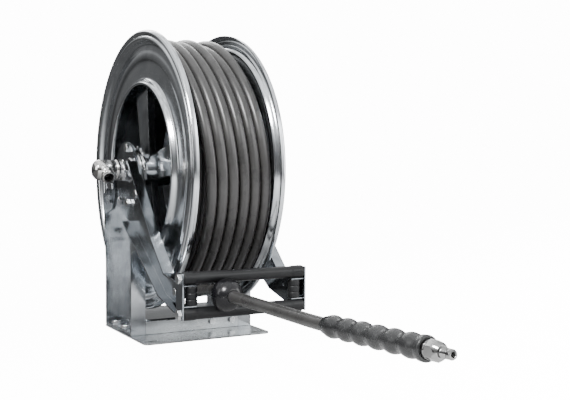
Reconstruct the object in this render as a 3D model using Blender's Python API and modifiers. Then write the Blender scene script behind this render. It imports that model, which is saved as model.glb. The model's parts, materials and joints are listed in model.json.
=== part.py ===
"""Spring-return hose reel on a base plate, +Z up.

The origin is on the ground straight below the middle of the drum. The drum turns on the X axis and the
hose leaves towards -Y. The modelling functions take millimetres, measured from the middle of the drum,
and turn them into metres with MM where a mesh or a location is made.
"""

import math

import bmesh
import bpy
from mathutils import Matrix, Vector

MM = 0.001
GAP = 0.3

# Driving dimensions, in millimetres
AXLE_HEIGHT = 258.0
DISC_RADIUS = 220.0
DISC_HOLE_RADIUS = 134.5
DISC_FACE_X = 63.4
DISC_THICKNESS = 1.6
RIM_X = 73.2
SHEET = 2.5
HOSE_RADIUS = 8.2
HOSE_BORE = 8.6
PACK_OUTER_RADIUS = 206.5
PACK_HALF_WIDTH = 60.9
CORE_OUTER_RADIUS = 157.0
CORE_INNER_RADIUS = 152.0
CORE_HALF_WIDTH = 62.0
SHAFT_RADIUS = 14.0
SHAFT_BORE = 14.3
BEARING_RADIUS = 19.0
POST_INNER_X = 80.0
POST_FLANGE_X = 103.0
POST_TOP_FLANGE_X = 107.0
POST_FRONT_Y = -49.5
POST_REAR_Y = 74.0
FRONT_FLANGE_TOP = -122.0
REAR_FLANGE_TOP = -32.0
ARCH_CENTRE = (26.0, -3.0)
ARCH_RADIUS = 48.0
ARM_FLANGE_X = 99.0
ARM_FRONT_Y = -211.0
PLATE_THICKNESS = 3.0
PLATE_HALF_WIDTH = 105.0
PLATE_FRONT_Y = -114.0
PLATE_REAR_Y = 75.0
BEAM_HEIGHT = 26.0
GUIDE_Y = -229.0
GUIDE_Z = -169.6
GUIDE_HALF_GAP = 24.5
ROLLER_RADIUS = 8.5
ROLLER_HALF_LENGTH = 94.4
SIDE_ROLLER_X = 81.0
SIDE_ROLLER_HALF_LENGTH = 13.4
BRACKET_X = 95.0
HOSE_X = -37.0
HOSE_Z = -168.4
STOPPER_RADIUS = 22.5
STOPPER_DISTANCE = 21.3
GRIP_PIVOT = 258.0
GRIP_LIFT = math.radians(2.2)
GRIP_START = 21.0
GRIP_LENGTH = 182.0
LEAD_BACK = 13.7
BULB_PITCH = 28.3
BULB_COUNT = 6
CASE_RADIUS = 120.0
BOLT_HOLE_RADIUS = 4.4
BOLT_RADIUS = 4.0
LUG_HOLE_RADIUS = 3.4

# What the dimensions above give
GROUND_Z = -AXLE_HEIGHT
PLATE_TOP = GROUND_Z + PLATE_THICKNESS
FOOT_Z = PLATE_TOP + GAP
BEAM_TOP = GROUND_Z + BEAM_HEIGHT
WEB_X = POST_INNER_X + SHEET
ARM_INNER_X = WEB_X + GAP
ARM_WEB_X = ARM_INNER_X + SHEET
HEAD_X = ARM_WEB_X + GAP

# Outlines in the YZ plane: (y, z)
UPPER_LINE = ((-20.0, 14.5), (-126.0, -102.0), (-172.0, -144.0), (ARM_FRONT_Y, -149.0))
LOWER_LINE = ((4.0, -83.0), (-60.0, -123.0), (-150.0, -180.0), (ARM_FRONT_Y, -195.0))
ARM_BOLTS = ((12.0, 35.0), (46.0, -50.0), (8.0, -53.0), (-30.0, -37.0))
BASE_BOLT_Y = (5.0, 50.0)
BASE_BOLT_X = 93.0
SLOT_X, SLOT_Y, SLOT_RADIUS = 87.0, -99.0, 4.5
BEAM_BOLT_X = (33.0, 68.0)
BEAM_BOLT_Z = 15.0 - AXLE_HEIGHT
LUG_BOLT = (-195.0, -168.0)
PAWL_PIVOT = (30.0, -62.0)
FEED_X = -38.0
FERRULE_TOP, FERRULE_MIDDLE, FERRULE_LOW = (37.0, -69.0), (30.0, -83.0), (23.0, -97.0)
FEED_START, FEED_END = ((25.5, -12.0), (38.0, -17.0), (44.0, -40.0)), (-0.2, -143.5)
FEED_ROUTE = (*FEED_START, FERRULE_TOP, FERRULE_MIDDLE, FERRULE_LOW, FEED_END)
SPOKE_ANGLE = math.radians(80.5)

# Looks: colour, roughness, metallic
STAINLESS = ((0.62, 0.64, 0.66), 0.25, 1.0)
BRUSHED = ((0.55, 0.57, 0.59), 0.42, 1.0)
ZINC = ((0.50, 0.51, 0.52), 0.35, 1.0)
DARK_STEEL = ((0.10, 0.105, 0.11), 0.5, 0.9)
HOSE_RUBBER = ((0.055, 0.057, 0.06), 0.45, 0.0)
BLACK_PLASTIC = ((0.02, 0.02, 0.022), 0.6, 0.0)
BALL_RUBBER = ((0.018, 0.018, 0.02), 0.4, 0.0)
GRIP_RUBBER = ((0.09, 0.092, 0.095), 0.5, 0.0)

ALONG_X = (0, math.pi / 2, 0)
ALONG_HOSE = (math.pi / 2, 0, 0)
# Where an outline's own axes point when it is extruded along X, Y or Z
OUTLINE_FRAMES = {
    "X": Matrix(((0, 0, 1), (1, 0, 0), (0, 1, 0))),
    "Y": Matrix(((1, 0, 0), (0, 0, -1), (0, 1, 0))),
    "Z": Matrix.Identity(3),
}
ROD_FRAMES = {
    "X": Matrix.Rotation(math.pi / 2, 3, "Y"),
    "Y": Matrix.Rotation(-math.pi / 2, 3, "X"),
    "Z": Matrix.Identity(3),
}

for old in list(bpy.data.objects):
    bpy.data.objects.remove(old, do_unlink=True)

parts = bpy.data.collections.new("hose_reel")
cutters = bpy.data.collections.new("cutters")
for collection in (parts, cutters):
    bpy.context.scene.collection.children.link(collection)


# ---------------------------------------------------------------- helpers


def empty(name, location, rotation=(0, 0, 0), parent=None):
    """An axis or a frame that pieces hang from."""
    obj = bpy.data.objects.new(name, None)
    obj.empty_display_size = 20 * MM
    obj.location = Vector(location) * MM
    obj.rotation_euler = rotation
    obj.parent = parent
    parts.objects.link(obj)
    return obj


def material(name, look):
    colour, roughness, metallic = look
    made = bpy.data.materials.new(name)
    made.use_nodes = True
    shader = made.node_tree.nodes["Principled BSDF"]
    shader.inputs["Base Color"].default_value = (*colour, 1.0)
    shader.inputs["Roughness"].default_value = roughness
    shader.inputs["Metallic"].default_value = metallic
    made.diffuse_color = (*colour, 1.0)
    return made


def place(obj, parent, location, rotation):
    obj.parent = parent
    obj.location = Vector(location) * MM
    obj.rotation_euler = rotation


def piece(name, mesh, look, parent, location=(0, 0, 0), rotation=(0, 0, 0), smooth=False):
    """A sub-part with its own material, under its parent."""
    obj = bpy.data.objects.new(name, mesh)
    parts.objects.link(obj)
    if not mesh.materials:
        mesh.materials.append(None)
    obj.material_slots[0].link = "OBJECT"
    obj.material_slots[0].material = material(name, look)
    place(obj, parent, location, rotation)
    if smooth:
        mesh.shade_smooth()
        mesh.set_sharp_from_angle(angle=math.radians(35))
    return obj


def tool(name, mesh, parent, location=(0, 0, 0), rotation=(0, 0, 0)):
    """A hidden solid that a Boolean adds to a piece or takes from it."""
    obj = bpy.data.objects.new(name, mesh)
    cutters.objects.link(obj)
    place(obj, parent, location, rotation)
    obj.hide_render = True
    obj.display_type = "WIRE"
    return obj


def combine(obj, operation, *others):
    """Adds hidden solids to a piece (UNION) or takes them from it (DIFFERENCE)."""
    for other in others:
        modifier = obj.modifiers.new(operation.lower(), "BOOLEAN")
        modifier.operation = operation
        modifier.object = other
        modifier.solver = "EXACT"


def mesh_from(name, build):
    """A mesh in metres from a function that fills a bmesh in millimetres."""
    shape = bmesh.new()
    build(shape)
    bmesh.ops.scale(shape, vec=(MM, MM, MM), verts=shape.verts)
    mesh = bpy.data.meshes.new(name)
    shape.to_mesh(mesh)
    shape.free()
    return mesh


def box_mesh(name, low, high):
    def build(shape):
        bmesh.ops.create_cube(shape, size=1.0)
        bmesh.ops.scale(shape, vec=[b - a for a, b in zip(low, high)], verts=shape.verts)
        bmesh.ops.translate(shape, vec=[(a + b) / 2 for a, b in zip(low, high)], verts=shape.verts)

    return mesh_from(name, build)


def rods_mesh(name, rods, sides=16):
    """Cylinders that don't touch; each is (axis, radius, low, high, middle)."""

    def build(shape):
        for axis, radius, low, high, middle in rods:
            made = bmesh.ops.create_cone(
                shape, cap_ends=True, segments=sides, radius1=radius, radius2=radius, depth=high - low
            )["verts"]
            bmesh.ops.translate(shape, vec=(0, 0, (low + high) / 2), verts=made)
            bmesh.ops.rotate(shape, matrix=ROD_FRAMES[axis], verts=made)
            bmesh.ops.translate(shape, vec=middle, verts=made)

    return mesh_from(name, build)


def baked(obj):
    """The mesh of an object as its modifiers leave it; the object goes."""
    bpy.context.view_layer.update()
    mesh = bpy.data.meshes.new_from_object(obj.evaluated_get(bpy.context.evaluated_depsgraph_get()))
    bpy.data.objects.remove(obj, do_unlink=True)
    return mesh


def outline_mesh(name, points, low, high, axis="X"):
    """A flat outline extruded from low to high along an axis.

    Its points are (y, z) along X, (x, z) along Y and (x, y) along Z.
    """
    curve = bpy.data.curves.new(name, "CURVE")
    curve.dimensions = "2D"
    curve.fill_mode = "BOTH"
    curve.extrude = (high - low) / 2 * MM
    spline = curve.splines.new("POLY")
    spline.points.add(len(points) - 1)
    for point, (across, up) in zip(spline.points, points):
        point.co = (across * MM, up * MM, 0, 1)
    spline.use_cyclic_u = True
    flat = bpy.data.objects.new(name, curve)
    parts.objects.link(flat)
    mesh = baked(flat)
    side = -1 if axis == "Y" else 1
    middle = Matrix.Translation((0, 0, side * (low + high) / 2 * MM))
    mesh.transform(OUTLINE_FRAMES[axis].to_4x4() @ middle)
    shape = bmesh.new()
    shape.from_mesh(mesh)
    bmesh.ops.remove_doubles(shape, verts=shape.verts, dist=1e-6)
    bmesh.ops.recalc_face_normals(shape, faces=shape.faces)
    shape.to_mesh(mesh)
    shape.free()
    return mesh


def profile_mesh(name, profile, closed):
    """The (radius, height) points of a turned piece, joined by edges in the XZ plane."""
    mesh = bpy.data.meshes.new(name)
    points = [(radius * MM, 0, height * MM) for radius, height in profile]
    edges = [(i, i + 1) for i in range(len(points) - 1)]
    if closed:
        edges.append((len(points) - 1, 0))
    mesh.from_pydata(points, edges, [])
    return mesh


def turn(obj, steps):
    screw = obj.modifiers.new("turn", "SCREW")
    screw.steps = steps
    screw.render_steps = steps
    screw.use_merge_vertices = True
    screw.merge_threshold = 1e-5


def turned(name, profile, look, parent, location=(0, 0, 0), rotation=ALONG_X, steps=32, closed=True):
    """A turned piece. Its profile runs down the outer side and, where it has a bore, back up the inside."""
    obj = piece(name, profile_mesh(name, profile, closed), look, parent, location, rotation)
    turn(obj, steps)
    return obj


def turned_tool(name, profile, parent, location=(0, 0, 0), rotation=ALONG_X, steps=32, closed=True):
    obj = tool(name, profile_mesh(name, profile, closed), parent, location, rotation)
    turn(obj, steps)
    return obj


def ring(inner, outer, low, high, chamfer=0.0):
    """The profile of a sleeve, with its outer edges chamfered."""
    if not chamfer:
        return [(outer, high), (outer, low), (inner, low), (inner, high)]
    return [
        (outer - chamfer, high),
        (outer, high - chamfer),
        (outer, low + chamfer),
        (outer - chamfer, low),
        (inner, low),
        (inner, high),
    ]


def arc(centre, radius, start, end, count):
    """Points on a circle, angles in degrees."""
    angles = [math.radians(start + (end - start) * i / (count - 1)) for i in range(count)]
    return [(centre[0] + radius * math.cos(a), centre[1] + radius * math.sin(a)) for a in angles]


def strip(line, thickness):
    """The outline of a sheet bent along a line; a positive thickness lies to the left of it."""
    points = [Vector(point) for point in line]
    ways = [(b - a).normalized() for a, b in zip(points, points[1:])]
    inner = []
    for index, point in enumerate(points):
        before = ways[max(index - 1, 0)]
        after = ways[min(index, len(ways) - 1)]
        normal = Vector((-(before + after).y, (before + after).x)).normalized()
        stretch = 1 / max(normal.dot(Vector((-after.y, after.x))), 0.5)
        inner.append(tuple(point + normal * thickness * stretch))
    return list(line) + inner[::-1]


def smooth_route(points, spacing):
    """Points along a Catmull-Rom curve through the given ones."""
    route = [Vector(point) for point in points]
    ends = [2 * route[0] - route[1], *route, 2 * route[-1] - route[-2]]
    made = []
    for a, b, c, d in zip(ends, ends[1:], ends[2:], ends[3:]):
        count = max(1, round((c - b).length / spacing))
        for step in range(count):
            t = step / count
            square, cube = (2 * a - 5 * b + 4 * c - d) * t**2, (3 * b - a - 3 * c + d) * t**3
            made.append(0.5 * (2 * b + (c - a) * t + square + cube))
    return [*made, route[-1]]


def tube(name, points, radius, look, parent, location=(0, 0, 0)):
    """A plain hose along a polyline, with filled caps."""
    curve = bpy.data.curves.new(name, "CURVE")
    curve.dimensions = "3D"
    curve.bevel_depth = radius * MM
    curve.bevel_resolution = 2
    curve.use_fill_caps = True
    spline = curve.splines.new("POLY")
    spline.points.add(len(points) - 1)
    for point, place_of in zip(spline.points, points):
        point.co = (*(Vector(place_of) * MM), 1)
    obj = bpy.data.objects.new(name, curve)
    parts.objects.link(obj)
    curve.materials.append(material(name, look))
    place(obj, parent, location, (0, 0, 0))
    return obj


def bolt_mesh(name, width, head, shank_radius, shank):
    """A hex bolt along Z: its head starts at the origin and goes up, and its shank goes down."""
    centre = (0, 0, 0)
    stem = tool(name + "_shank", rods_mesh(name, [("Z", shank_radius, -shank, 1.0, centre)], sides=10), None)
    body = tool(name, rods_mesh(name, [("Z", width / math.sqrt(3), 0.0, head, centre)], sides=6), None)
    combine(body, "UNION", stem)
    mesh = baked(body)
    bpy.data.objects.remove(stem, do_unlink=True)
    mesh.materials.clear()
    return mesh


# ---------------------------------------------------------------- frame


def base_plate():
    """The plate on the ground, with a slot in each front corner and holes for the post bolts."""
    outline = []
    corners = ((1, 1), (-1, 1), (-1, -1), (1, -1))
    for quarter, (side, end) in enumerate(corners):
        x = side * (PLATE_HALF_WIDTH - 8)
        y = (PLATE_REAR_Y if end > 0 else PLATE_FRONT_Y) - end * 8
        outline += arc((x, y), 8, 90 * quarter, 90 * quarter + 90, 5)
    obj = piece("base_plate", outline_mesh("base_plate", outline, GROUND_Z, PLATE_TOP, "Z"), BRUSHED, axle)
    for side in (-1, 1):
        x, y = side * SLOT_X, SLOT_Y
        slot = arc((x + 6, y), SLOT_RADIUS, -90, 90, 7) + arc((x - 6, y), SLOT_RADIUS, 90, 270, 7)
        name = f"plate_slot_{side}"
        cutter = outline_mesh(name, slot, GROUND_Z - 2, PLATE_TOP + 2, "Z")
        combine(obj, "DIFFERENCE", tool(name, cutter, axle))
    combine(obj, "DIFFERENCE", tool("plate_bolt_holes", rods_mesh("plate_bolt_holes", foot_rods()), axle))


def foot_rods():
    return [
        ("Z", BOLT_HOLE_RADIUS, GROUND_Z - 5, FOOT_Z + 8, (side * BASE_BOLT_X, y, 0))
        for side in (-1, 1)
        for y in BASE_BOLT_Y
    ]


def web_rods(side):
    """The bearing's hole and the arm's bolt holes, through a post or an arm."""
    low, high = sorted((side * (POST_INNER_X - 4), side * (ARM_WEB_X + 4)))
    rods = [("X", BOLT_HOLE_RADIUS, low, high, (0, y, z)) for y, z in ARM_BOLTS]
    rods.append(("X", BEARING_RADIUS + 2 * GAP, low, high, (0, 0, 0)))
    return rods


def base_beam():
    """An upside-down channel across the base plate, between the posts."""
    lip = POST_FRONT_Y + SHEET, POST_REAR_Y - SHEET
    section = [
        (POST_FRONT_Y, FOOT_Z),
        (lip[0], FOOT_Z),
        (lip[0], BEAM_TOP - SHEET),
        (lip[1], BEAM_TOP - SHEET),
        (lip[1], FOOT_Z),
        (POST_REAR_Y, FOOT_Z),
        (POST_REAR_Y, BEAM_TOP - 3),
        (POST_REAR_Y - 3, BEAM_TOP),
        (POST_FRONT_Y + 3, BEAM_TOP),
        (POST_FRONT_Y, BEAM_TOP - 3),
    ]
    half = POST_INNER_X - GAP
    obj = piece("base_beam", outline_mesh("base_beam", section, -half, half), BRUSHED, axle)
    low, high = POST_FRONT_Y - 4, POST_FRONT_Y + 8
    rods = [("Y", BOLT_HOLE_RADIUS, low, high, (x, 0, BEAM_BOLT_Z)) for x in BEAM_BOLT_X]
    combine(obj, "DIFFERENCE", tool("beam_holes", rods_mesh("beam_holes", rods), axle))


def post(side, name):
    """A channel with its flanges outwards, a foot on the plate and a round top behind the axle."""
    outline = [(POST_FRONT_Y, FOOT_Z), (POST_FRONT_Y, -55.0), (-38.0, 2.0)]
    outline += arc(ARCH_CENTRE, ARCH_RADIUS, 157, 0, 26)
    outline += [(POST_REAR_Y, FOOT_Z)]
    low, high = sorted((side * POST_INNER_X, side * WEB_X))
    obj = piece(name, outline_mesh(name, outline, low, high), STAINLESS, axle)
    front = [(POST_INNER_X, FOOT_Z), (POST_FLANGE_X, FOOT_Z)]
    front += arc((POST_FLANGE_X - 10, FRONT_FLANGE_TOP - 10), 10, 0, 90, 5)
    front += [(POST_INNER_X, FRONT_FLANGE_TOP)]
    rear = [(POST_INNER_X, FOOT_Z), (POST_FLANGE_X, FOOT_Z), (POST_FLANGE_X, FRONT_FLANGE_TOP - 30)]
    rear += [(POST_TOP_FLANGE_X, REAR_FLANGE_TOP - 8), (POST_TOP_FLANGE_X - 6, REAR_FLANGE_TOP)]
    rear += [(POST_INNER_X, REAR_FLANGE_TOP)]
    for end, flange, y in (("front", front, POST_FRONT_Y), ("rear", rear, POST_REAR_Y - SHEET)):
        points = [(side * x, z) for x, z in flange]
        mesh = outline_mesh(f"{name}_{end}", points, y, y + SHEET, "Y")
        combine(obj, "UNION", tool(f"{name}_{end}_flange", mesh, axle))
    low, high = sorted((side * (POST_INNER_X + 1), side * (POST_FLANGE_X - 1)))
    foot = box_mesh(name + "_foot", (low, POST_FRONT_Y + 1, FOOT_Z), (high, POST_REAR_Y - 1, FOOT_Z + SHEET))
    combine(obj, "UNION", tool(name + "_foot", foot, axle))
    combine(obj, "DIFFERENCE", tool(name + "_holes", rods_mesh(name + "_holes", web_rods(side)), axle))
    combine(obj, "DIFFERENCE", tool(name + "_foot_holes", rods_mesh(name + "_foot_holes", foot_rods()), axle))


def arm(side, name):
    """A channel with its flanges outwards that carries the roller guide in front of the drum."""
    outline = list(UPPER_LINE) + list(LOWER_LINE)[::-1]
    outline += [(50.0, -68.0), (63.0, -50.0)]
    outline += arc(ARCH_CENTRE, ARCH_RADIUS - 1, 0, 156, 26)
    low, high = sorted((side * ARM_INNER_X, side * ARM_WEB_X))
    obj = piece(name, outline_mesh(name, outline, low, high), STAINLESS, axle)
    low, high = sorted((side * (ARM_INNER_X + 1), side * ARM_FLANGE_X))
    for end, line, thickness in (("upper", UPPER_LINE, SHEET), ("lower", LOWER_LINE, -SHEET)):
        flange = outline_mesh(f"{name}_{end}", strip(line, thickness), low, high)
        combine(obj, "UNION", tool(f"{name}_{end}_flange", flange, axle))
    rods = web_rods(side)
    rods.append(("X", LUG_HOLE_RADIUS, *rods[0][2:4], (0, *LUG_BOLT)))
    combine(obj, "DIFFERENCE", tool(name + "_holes", rods_mesh(name + "_holes", rods), axle))


def bearing(side, name):
    """A flanged bush through the post and the arm; its flange is on the drum's side."""
    inner, flange, outer = POST_INNER_X - 3, POST_INNER_X - GAP, HEAD_X + 3.5
    profile = [
        (SHAFT_BORE, outer),
        (BEARING_RADIUS - 1, outer),
        (BEARING_RADIUS, outer - 1),
        (BEARING_RADIUS, flange),
        (26.0, flange),
        (26.0, inner),
        (SHAFT_BORE, inner),
    ]
    turned(name, profile, ZINC, axle, rotation=(0, side * math.pi / 2, 0), steps=24)


def guide_bracket(side, name):
    """A folded bracket: a lug inside the arm's channel, a side plate and two tabs for the side roller."""
    pieces = (
        ("plate", (BRACKET_X, GUIDE_Y - 7.5, GUIDE_Z - 32), (BRACKET_X + 2, GUIDE_Y + 16, GUIDE_Z + 32)),
        ("step", (85.8, GUIDE_Y + 14, GUIDE_Z - 13), (BRACKET_X + 2, GUIDE_Y + 16, GUIDE_Z + 17)),
        ("lug", (85.8, GUIDE_Y + 14, GUIDE_Z - 13), (87.8, GUIDE_Y + 51, GUIDE_Z + 17)),
        ("top_tab", (75.0, GUIDE_Y - 4.6, GUIDE_Z + 13.7), (BRACKET_X + 1, GUIDE_Y + 8, GUIDE_Z + 15.0)),
        ("low_tab", (75.0, GUIDE_Y - 4.6, GUIDE_Z - 15.0), (BRACKET_X + 1, GUIDE_Y + 8, GUIDE_Z - 13.7)),
    )
    solids = []
    for label, low, high in pieces:
        ends = sorted((side * low[0], side * high[0]))
        solids.append(box_mesh(f"{name}_{label}", (ends[0], *low[1:]), (ends[1], *high[1:])))
    obj = piece(name, solids[0], ZINC, axle)
    for (label, _, _), solid in zip(pieces[1:], solids[1:]):
        combine(obj, "UNION", tool(f"{name}_{label}", solid, axle))
    low, high = sorted((side * 80.0, side * 106.0))
    heights = (GUIDE_Z - GUIDE_HALF_GAP, GUIDE_Z + GUIDE_HALF_GAP)
    rods = [("X", BOLT_HOLE_RADIUS, low, high, (0, GUIDE_Y, z)) for z in heights]
    rods.append(("X", LUG_HOLE_RADIUS, low, high, (0, *LUG_BOLT)))
    rods.append(("Z", 2.8, GUIDE_Z - 20, GUIDE_Z + 20, (side * SIDE_ROLLER_X, GUIDE_Y, 0)))
    combine(obj, "DIFFERENCE", tool(name + "_holes", rods_mesh(name + "_holes", rods), axle))


def roller_axle(end, name):
    """A long bolt from the left through both guide brackets; its end is flush in the right one."""
    centre = (0, GUIDE_Y, GUIDE_Z + end * GUIDE_HALF_GAP)
    head, foot = -BRACKET_X - 2 - GAP, BRACKET_X + 2
    rods = rods_mesh(name, [("X", BOLT_RADIUS, head - 1, foot, (0, 0, 0))])
    obj = piece(name, rods, ZINC, axle, location=centre)
    hexagon = rods_mesh(f"{name}_head", [("X", 7.5, head - 5.2, head, (0, 0, 0))], sides=6)
    combine(obj, "UNION", tool(f"{name}_head", hexagon, axle, location=centre))


def side_axle(side, name):
    low, high = -15.0, 15.0
    turned(
        name,
        [(0, high), (2.5, high), (2.5, low), (0, low)],
        ZINC,
        axle,
        location=(side * SIDE_ROLLER_X, GUIDE_Y, GUIDE_Z),
        rotation=(0, 0, 0),
        steps=12,
        closed=False,
    )


def spring_case():
    """The cup of the return spring inside the drum, its cover and the spiral spring."""
    left, right, wall = 16.0, POST_INNER_X - 0.6, 2.0
    profile = [
        (CASE_RADIUS, right),
        (CASE_RADIUS, left),
        (CASE_RADIUS - wall, left),
        (CASE_RADIUS - wall, right - wall),
        (27.0, right - wall),
        (27.0, right),
    ]
    turned("spring_case", profile, DARK_STEEL, axle, steps=40)
    turned("spring_cover", ring(15.5, CASE_RADIUS, left - wall - GAP, left - GAP), DARK_STEEL, axle, steps=40)
    turns, inner, outer, thickness = 7, 24.0, 113.0, 1.2
    count = turns * 14
    inside, outside = [], []
    for step in range(count + 1):
        angle = 2 * math.pi * turns * step / count
        radius = inner + (outer - inner) * step / count
        way = Vector((math.cos(angle), math.sin(angle)))
        inside.append(tuple(radius * way))
        outside.append(tuple((radius + thickness) * way))
    margin = 6.0
    outline = outside + inside[::-1]
    mesh = outline_mesh("spiral_spring", outline, left + margin, right - wall - margin)
    piece("spiral_spring", mesh, DARK_STEEL, axle)


def pawl():
    """The latch that holds the drum, on its pin beside the ratchet wheel."""
    head_end, neck, foot = -68.4, -70.4, GAP - POST_INNER_X
    pin = [(0, head_end), (6.5, head_end), (6.5, neck), (4.0, neck), (4.0, foot), (0, foot)]
    turned("pawl_pin", pin, ZINC, axle, location=(0, *PAWL_PIVOT), steps=16, closed=False)
    pivot = empty("pawl_axis", (0, *PAWL_PIVOT), parent=axle)
    outline = arc((0, 0), 9.0, -70, 110, 10) + [(-24.0, 23.0), (-39.0, 21.5), (-38.0, 15.5), (-14.0, 2.0)]
    obj = piece("pawl", outline_mesh("pawl", outline, -76.0, -70.9), ZINC, pivot)
    hole = rods_mesh("pawl_hole", [("X", 4.3, -79, -68, (0, 0, 0))])
    combine(obj, "DIFFERENCE", tool("pawl_hole", hole, pivot))


def bolts():
    """Each bolt is its own piece; bolts of one size share their mesh."""
    arm_bolt = bolt_mesh("arm_bolt", 13.0, 5.3, BOLT_RADIUS, HEAD_X - POST_INNER_X - GAP)
    base_bolt = bolt_mesh("base_bolt", 13.0, 5.3, BOLT_RADIUS, SHEET + PLATE_THICKNESS + GAP)
    lug_bolt = bolt_mesh("lug_bolt", 10.0, 4.2, 3.0, 4.6)
    for side, label in ((-1, "left"), (1, "right")):
        outwards = (0, side * math.pi / 2, 0)
        for index, (y, z) in enumerate(ARM_BOLTS, 1):
            piece(f"{label}_arm_bolt_{index}", arm_bolt, ZINC, axle, (side * HEAD_X, y, z), outwards)
        piece(f"{label}_guide_bolt", lug_bolt, ZINC, axle, (side * 88.1, *LUG_BOLT), outwards)
        for index, y in enumerate(BASE_BOLT_Y, 1):
            place_of = (side * BASE_BOLT_X, y, FOOT_Z + SHEET + GAP)
            piece(f"{label}_base_bolt_{index}", base_bolt, ZINC, axle, place_of)
    for index, x in enumerate(BEAM_BOLT_X, 1):
        place_of = (x, POST_FRONT_Y - GAP, BEAM_BOLT_Z)
        piece(f"beam_bolt_{index}", lug_bolt, ZINC, axle, place_of, (math.pi / 2, 0, 0))


def hose_run():
    """The hose from the drum, where its last turn lies by the left flange, to the roller guide."""
    last = Vector((HOSE_X, GUIDE_Y + LEAD_BACK + GAP, HOSE_Z))
    start, end = Vector((-45.6, -109.0, -185.2)), last + Vector((0, 6, 0))
    away, along = Vector((0.115, -0.984, 0.134)), Vector((0, -1, 0))
    reach = (end - start).length
    points = []
    for step in range(5):
        t = step / 4
        points.append(
            start * (2 * t**3 - 3 * t**2 + 1)
            + away * reach * (t**3 - 2 * t**2 + t)
            + end * (3 * t**2 - 2 * t**3)
            + along * reach * (t**3 - t**2)
        )
    tube("hose_run", [*points, last], HOSE_RADIUS, HOSE_RUBBER, axle)


# ---------------------------------------------------------------- drum


def disc(side, name):
    """A pressed flange of the drum: a rolled lip round its hole, a bead and a rolled rim."""
    line = [
        (DISC_HOLE_RADIUS, 71.5),
        (DISC_HOLE_RADIUS + 2.5, 73.0),
        (DISC_HOLE_RADIUS + 5.5, 70.0),
        (DISC_HOLE_RADIUS + 9.5, DISC_FACE_X + 0.4),
        (171.0, DISC_FACE_X),
        (177.0, DISC_FACE_X + 2.8),
        (183.0, DISC_FACE_X),
        (198.0, DISC_FACE_X),
        (204.0, 71.0),
        (209.5, RIM_X),
        (215.5, RIM_X - 0.6),
        (219.0, 69.5),
        (DISC_RADIUS, 64.5),
    ]
    outwards = (0, side * math.pi / 2, 0)
    obj = turned(name, line[::-1], STAINLESS, drum, rotation=outwards, steps=32, closed=False)
    sheet = obj.modifiers.new("sheet", "SOLIDIFY")
    sheet.thickness = DISC_THICKNESS * MM
    sheet.offset = 0
    sheet.use_even_offset = True


def spider():
    """The hub and its four flared spokes, which carry the drum's core."""
    hub = [(25.0, -14.0), (25.0, -69.2), (23.0, -71.2), (SHAFT_BORE, -71.2), (SHAFT_BORE, -14.0)]
    obj = turned("drum_spider", hub, STAINLESS, drum)
    for index in range(4):
        turn_by = (SPOKE_ANGLE + index * math.pi / 2, 0, 0)
        plate = [(-18.0, 21.0), (18.0, 21.0), (27.0, 148.6), (-27.0, 148.6)]
        hollow = [(-15.5, 27.0), (15.5, 27.0), (24.0, 146.0), (-24.0, 146.0)]
        name = f"spoke_{index}"
        spoke = tool(name, outline_mesh(name, plate, -60.0, -49.0), drum, rotation=turn_by)
        name = f"spoke_hollow_{index}"
        cutter = tool(name, outline_mesh(name, hollow, -57.5, -45.0), drum, rotation=turn_by)
        combine(spoke, "DIFFERENCE", cutter)
        combine(obj, "UNION", spoke)


def ratchet():
    """A saw-toothed wheel beside the hub, behind the left post."""
    teeth, root, tip = 16, 33.0, 38.0
    outline = []
    for index in range(teeth):
        start = 2 * math.pi * index / teeth
        outline.append((tip * math.cos(start), tip * math.sin(start)))
        late = start + 0.12 * 2 * math.pi / teeth
        outline.append((root * math.cos(late), root * math.sin(late)))
    obj = piece("ratchet_wheel", outline_mesh("ratchet_wheel", outline, -75.9, -71.5), ZINC, drum)
    hole = rods_mesh("ratchet_hole", [("X", SHAFT_BORE, -80, -68, (0, 0, 0))], sides=32)
    combine(obj, "DIFFERENCE", tool("ratchet_hole", hole, drum))


def shaft():
    """The hollow axle, the nut that holds it and the sleeve that winds the spring."""
    profile = [
        (0, 94.0),
        (16.5, 94.0),
        (18.0, 92.5),
        (18.0, 89.9),
        (SHAFT_RADIUS, 89.9),
        (SHAFT_RADIUS, -106.0),
        (11.9, -106.0),
        (11.9, -116.0),
        (6.0, -116.0),
        (6.0, -48.0),
        (0, -48.0),
    ]
    turned("axle_shaft", profile, ZINC, drum, steps=24, closed=False)
    nut = rods_mesh("axle_nut", [("X", 19.5, -103.5, -90.5, (0, 0, 0))], sides=6)
    obj = piece("axle_nut", nut, ZINC, drum)
    hole = rods_mesh("nut_hole", [("X", SHAFT_BORE, -110, -85, (0, 0, 0))], sides=24)
    combine(obj, "DIFFERENCE", tool("nut_hole", hole, drum))
    turned("spring_arbor", ring(SHAFT_BORE, 21.0, 20.0, 70.0), DARK_STEEL, drum, steps=24)


def feed():
    """The short hose inside the drum, from the hub to the core, and its crimped ferrule."""
    route = smooth_route([(0, *point) for point in FEED_ROUTE], 14.0)
    tube("feed_hose", route, HOSE_RADIUS, HOSE_RUBBER, drum, location=(FEED_X, 0, 0))
    outer = []
    for band in range(3):
        top = 13.0 - 9.0 * band
        outer += [(10.6, top), (11.6, top - 1.2), (11.6, top - 5.0), (10.6, top - 6.2)]
    profile = outer + [(10.6, -13.0), (9.1, -13.0), (9.1, 13.0)]
    lean = -math.atan2(FERRULE_TOP[0] - FERRULE_LOW[0], FERRULE_TOP[1] - FERRULE_LOW[1])
    turned("feed_ferrule", profile, ZINC, drum, (FEED_X, *FERRULE_MIDDLE), (lean, 0, 0), steps=14)


def wound_hose():
    inner = CORE_OUTER_RADIUS + 0.4
    profile = ring(inner, PACK_OUTER_RADIUS, -PACK_HALF_WIDTH, PACK_HALF_WIDTH, chamfer=5.0)
    turned("hose_pack", profile, HOSE_RUBBER, drum, steps=40)


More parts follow.
